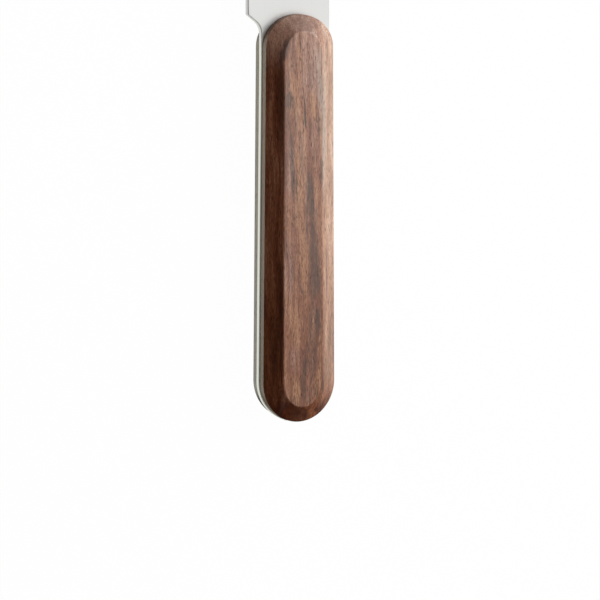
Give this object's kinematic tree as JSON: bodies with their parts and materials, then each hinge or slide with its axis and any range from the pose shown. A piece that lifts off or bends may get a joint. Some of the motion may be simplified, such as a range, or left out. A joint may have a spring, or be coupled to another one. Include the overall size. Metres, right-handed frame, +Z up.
{
  "type": "paring knife",
  "caption": "Small full-tang kitchen knife with a spear-pointed steel blade and chamfered, round-ended wooden handle scales, for peeling and trimming.",
  "frame": {"origin": "on the back scale's flat rest face, on the handle's centre line, half-way along the scales", "axes": "+Y along the knife from the butt to the point, +X towards the spine, +Z up from the back scale to the front scale"},
  "size_m": [0.0228, 0.1945, 0.0128],
  "materials": {
    "blade_steel": "satin stainless steel, finely brushed",
    "scale_wood": "oiled red-brown hardwood with long darker streaks and open pores",
    "bond_adhesive": "cured dark adhesive",
    "pin_steel": "ground steel dowel"
  },
  "bodies": {
    "root": {"blade": "blade_steel", "front_scale": "scale_wood", "back_scale": "scale_wood", "front_bond": "bond_adhesive", "back_bond": "bond_adhesive", "butt_pin": "pin_steel", "middle_pin": "pin_steel", "front_pin": "pin_steel"}
  },
  "joints": []
}
